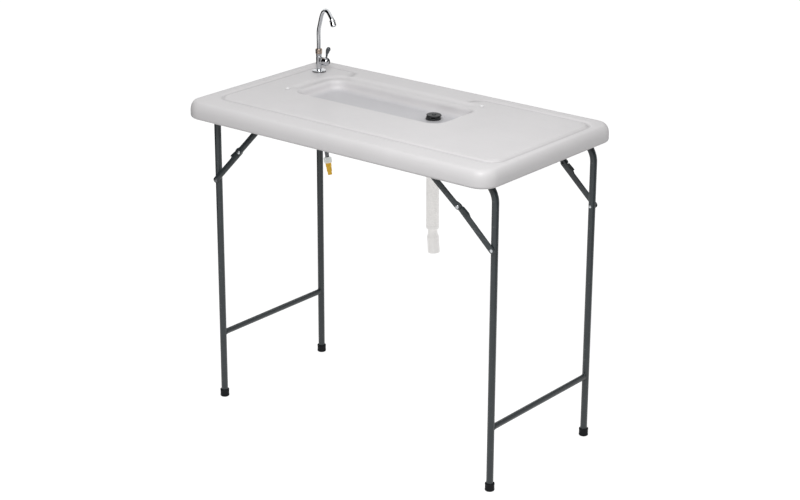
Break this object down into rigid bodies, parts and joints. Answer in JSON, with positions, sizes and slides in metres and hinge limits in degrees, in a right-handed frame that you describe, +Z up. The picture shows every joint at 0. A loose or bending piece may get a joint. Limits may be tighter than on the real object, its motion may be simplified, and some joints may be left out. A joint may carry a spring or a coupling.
{
  "type": "folding fish cleaning table",
  "caption": "Portable cleaning table: moulded top with sink, groove and drain hose, gooseneck tap, and two leg frames that fold flat on jointed braces.",
  "frame": {"origin": "on the floor under the middle of the top, midway between its ends and between front and back", "axes": "+Z up; +X along the top towards the drain end; +Y to the back, where the tap is"},
  "size_m": [1.042, 0.584, 1.085],
  "materials": {
    "top": "fine moulded grain",
    "caps": "smooth",
    "drain_plastic": "satin",
    "seal": "matt",
    "drain_hose": "satin",
    "tap_chrome": "polished",
    "tap_collar": "polished, warm tint",
    "lever": "satin",
    "fasteners": "plated",
    "braid": "braided",
    "clear_nut": "translucent",
    "connector": "satin",
    "frame_paint": "powder coat",
    "foot_rubber": "satin"
  },
  "bodies": {
    "top_body": {"tabletop": "top", "screw_cap_left": "caps", "screw_cap_back": "caps", "drain_flange": "drain_plastic", "drain_gasket": "seal", "drain_nut": "drain_plastic", "drain_strainer": "drain_plastic", "drain_hose": "drain_hose", "drain_hose_cuff": "drain_hose", "faucet_base": "tap_chrome", "faucet_gasket": "seal", "faucet_body": "tap_chrome", "faucet_collar": "tap_collar", "faucet_bonnet": "tap_chrome", "faucet_washer": "fasteners", "faucet_nut": "fasteners", "supply_hose": "braid", "supply_hose_nut": "clear_nut", "hose_connector": "connector", "clip_left_front": "frame_paint", "brace_bracket_left_front": "frame_paint", "clip_left_back": "frame_paint", "brace_bracket_left_back": "frame_paint", "clip_right_front": "frame_paint", "brace_bracket_right_front": "frame_paint", "clip_right_back": "frame_paint", "brace_bracket_right_back": "frame_paint"},
    "stopper": {"drain_stopper": "drain_plastic"},
    "spout": {"faucet_spout": "tap_chrome", "faucet_aerator": "tap_chrome"},
    "lever": {"faucet_lever": "lever"},
    "frame_left": {"crossbar_left": "frame_paint", "spreader_left": "frame_paint", "leg_left_front": "frame_paint", "foot_left_front": "foot_rubber", "leg_left_back": "frame_paint", "foot_left_back": "foot_rubber"},
    "brace_upper_left_front_link": {"brace_upper_left_front": "frame_paint", "rivet_mid_left_front": "fasteners"},
    "brace_lower_left_front_link": {"brace_lower_left_front": "frame_paint", "rivet_leg_left_front": "fasteners"},
    "brace_upper_left_back_link": {"brace_upper_left_back": "frame_paint", "rivet_mid_left_back": "fasteners"},
    "brace_lower_left_back_link": {"brace_lower_left_back": "frame_paint", "rivet_leg_left_back": "fasteners"},
    "frame_right": {"crossbar_right": "frame_paint", "spreader_right": "frame_paint", "leg_right_front": "frame_paint", "foot_right_front": "foot_rubber", "leg_right_back": "frame_paint", "foot_right_back": "foot_rubber"},
    "brace_upper_right_front_link": {"brace_upper_right_front": "frame_paint", "rivet_mid_right_front": "fasteners"},
    "brace_lower_right_front_link": {"brace_lower_right_front": "frame_paint", "rivet_leg_right_front": "fasteners"},
    "brace_upper_right_back_link": {"brace_upper_right_back": "frame_paint", "rivet_mid_right_back": "fasteners"},
    "brace_lower_right_back_link": {"brace_lower_right_back": "frame_paint", "rivet_leg_right_back": "fasteners"}
  },
  "joints": [
    {"name": "fold_left_legs", "type": "hinge", "parent": "top_body", "child": "frame_left", "pos_m": [-0.45, 0, 0.856], "axis": [0, -1, 0], "range_deg": [0, 90]},
    {"name": "swing_left_front_upper", "type": "hinge", "parent": "top_body", "child": "brace_upper_left_front_link", "pos_m": [-0.266, 0, 0.856], "axis": [0, 1, 0], "range_deg": [-0.05, 46.62]},
    {"name": "knee_left_front", "type": "hinge", "parent": "brace_upper_left_front_link", "child": "brace_lower_left_front_link", "pos_m": [-0.3544, 0, 0.7626], "axis": [0, -1, 0], "range_deg": [-0.05, 180]},
    {"name": "swing_left_back_upper", "type": "hinge", "parent": "top_body", "child": "brace_upper_left_back_link", "pos_m": [-0.266, 0, 0.856], "axis": [0, 1, 0], "range_deg": [-0.05, 46.62]},
    {"name": "knee_left_back", "type": "hinge", "parent": "brace_upper_left_back_link", "child": "brace_lower_left_back_link", "pos_m": [-0.3544, 0, 0.7626], "axis": [0, -1, 0], "range_deg": [-0.05, 180]},
    {"name": "fold_right_legs", "type": "hinge", "parent": "top_body", "child": "frame_right", "pos_m": [0.45, 0, 0.856], "axis": [0, 1, 0], "range_deg": [0, 90]},
    {"name": "swing_right_front_upper", "type": "hinge", "parent": "top_body", "child": "brace_upper_right_front_link", "pos_m": [0.2959, 0, 0.856], "axis": [0, -1, 0], "range_deg": [-0.05, 4.85]},
    {"name": "knee_right_front", "type": "hinge", "parent": "brace_upper_right_front_link", "child": "brace_lower_right_front_link", "pos_m": [0.4028, 0, 0.7705], "axis": [0, 1, 0], "range_deg": [-0.05, 149.67]},
    {"name": "swing_right_back_upper", "type": "hinge", "parent": "top_body", "child": "brace_upper_right_back_link", "pos_m": [0.2959, 0, 0.856], "axis": [0, -1, 0], "range_deg": [-0.05, 4.85]},
    {"name": "knee_right_back", "type": "hinge", "parent": "brace_upper_right_back_link", "child": "brace_lower_right_back_link", "pos_m": [0.4028, 0, 0.7705], "axis": [0, 1, 0], "range_deg": [-0.05, 149.67]},
    {"name": "spout_swivel", "type": "hinge", "parent": "top_body", "child": "spout", "pos_m": [-0.43, 0.178, 0.97], "axis": [0, 0, 1], "continuous": true},
    {"name": "tap_lever", "type": "hinge", "parent": "top_body", "child": "lever", "pos_m": [-0.40425, 0.18163, 0.922], "axis": [-0.1395, 0.9902, 0], "range_deg": [0, 75]},
    {"name": "drain_stopper_slide", "type": "slide", "parent": "top_body", "child": "stopper", "axis": [0, 0, 1], "range_m": [-0.0034, 0]}
  ],
  "couplings": [
    {"joint": "swing_left_front_upper", "follows": "fold_left_legs", "ratio": 0.5175},
    {"joint": "knee_left_front", "follows": "fold_left_legs", "ratio": 1.9994},
    {"joint": "swing_left_back_upper", "follows": "fold_left_legs", "ratio": 0.5175},
    {"joint": "knee_left_back", "follows": "fold_left_legs", "ratio": 1.9994},
    {"joint": "swing_right_front_upper", "follows": "fold_right_legs", "ratio": 0.05338},
    {"joint": "knee_right_front", "follows": "fold_right_legs", "ratio": 1.6624},
    {"joint": "swing_right_back_upper", "follows": "fold_right_legs", "ratio": 0.05338},
    {"joint": "knee_right_back", "follows": "fold_right_legs", "ratio": 1.6624}
  ]
}
